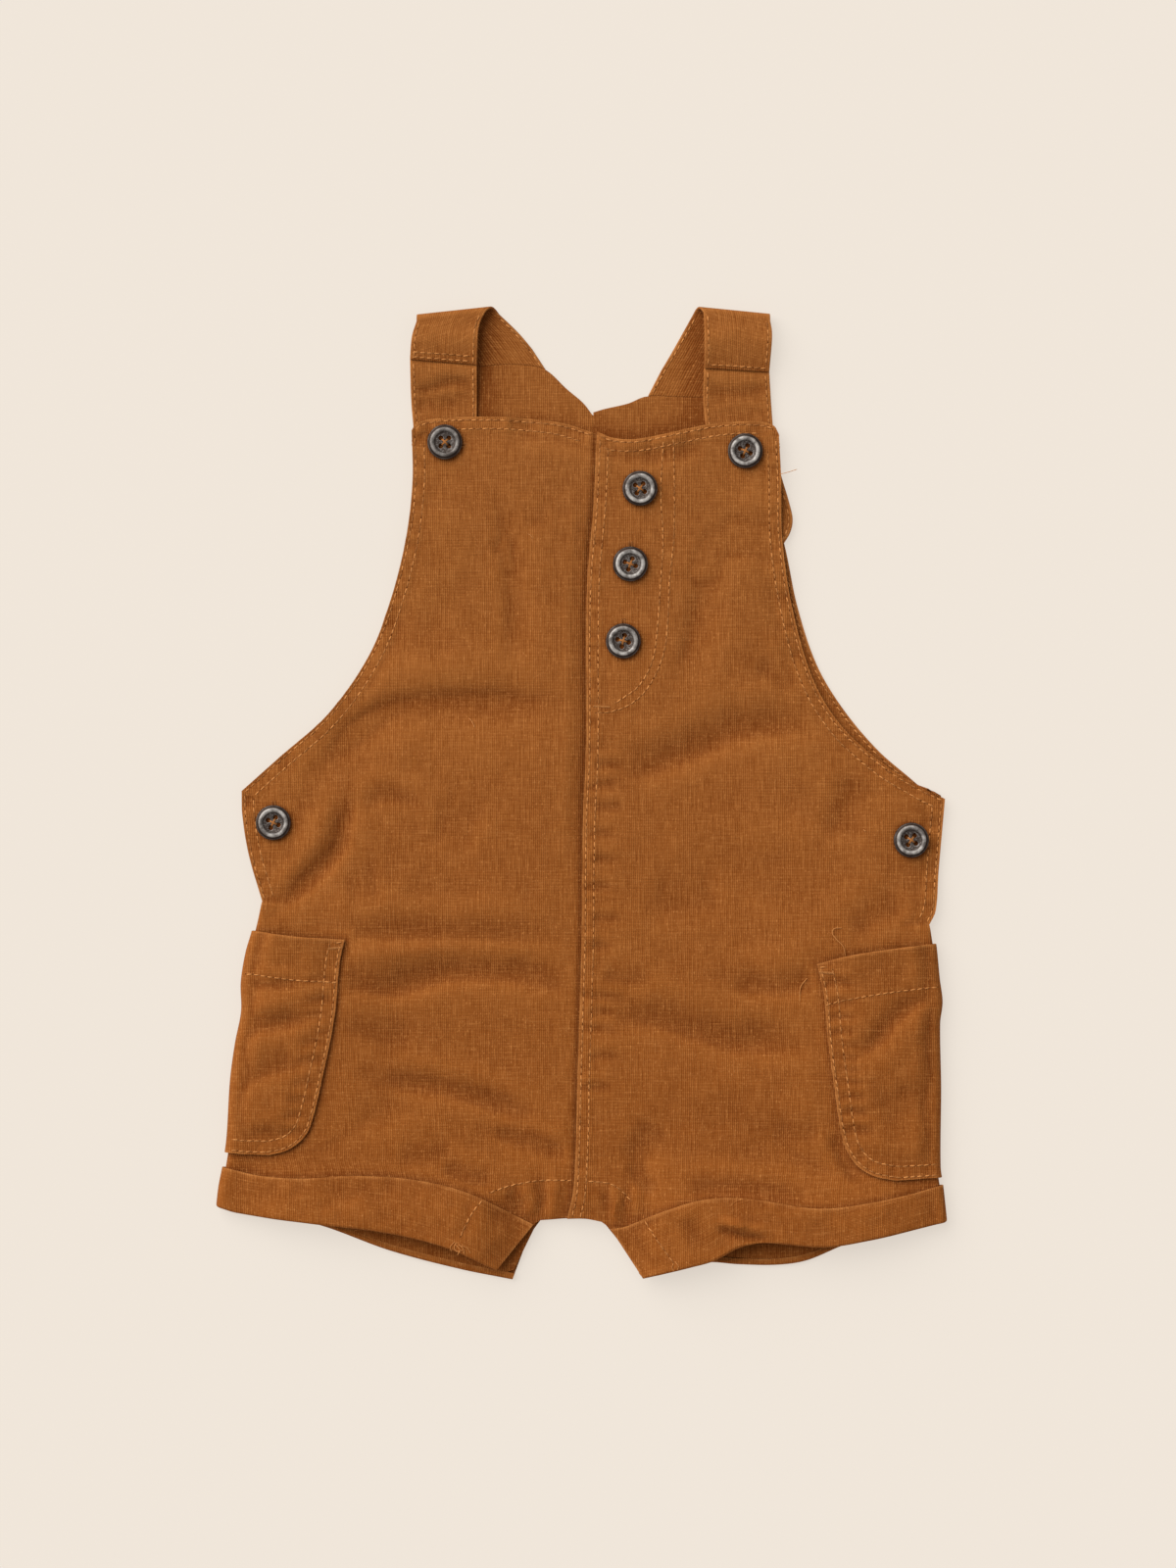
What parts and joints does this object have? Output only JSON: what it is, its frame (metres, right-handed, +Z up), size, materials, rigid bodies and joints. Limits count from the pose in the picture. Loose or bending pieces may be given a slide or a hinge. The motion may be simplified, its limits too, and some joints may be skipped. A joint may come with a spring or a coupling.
{
  "type": "baby short bib overalls laid flat",
  "caption": "Short bib overalls for a baby, laid flat with straps folded over the shoulders, a buttoned placket, side pockets and turned-up cuffs.",
  "frame": {"origin": "on the surface the garment lies on, below the middle of its outline", "axes": "+X to the right of the garment as it lies face up, +Y from the legs up to the straps, +Z up away from the surface"},
  "size_m": [0.2978, 0.3965, 0.0122],
  "materials": {
    "cloth": "plain woven tobacco brown linen and cotton, matt",
    "thread": "golden brown topstitching thread",
    "button_metal": "aged gunmetal with rubbed rims"
  },
  "bodies": {
    "root": {"front_left": "cloth", "front_right": "cloth", "back_left": "cloth", "back_right": "cloth", "strap_left_shoulder": "cloth", "strap_right_shoulder": "cloth", "strap_left_front": "cloth", "strap_right_front": "cloth", "pocket_left": "cloth", "pocket_right": "cloth", "cuff_left_front": "cloth", "cuff_left_back": "cloth", "cuff_right_front": "cloth", "cuff_right_back": "cloth", "button_bib_left": "button_metal", "button_bib_right": "button_metal", "button_placket_top": "button_metal", "button_placket_middle": "button_metal", "button_placket_low": "button_metal", "button_side_left": "button_metal", "button_side_right": "button_metal"}
  },
  "joints": []
}
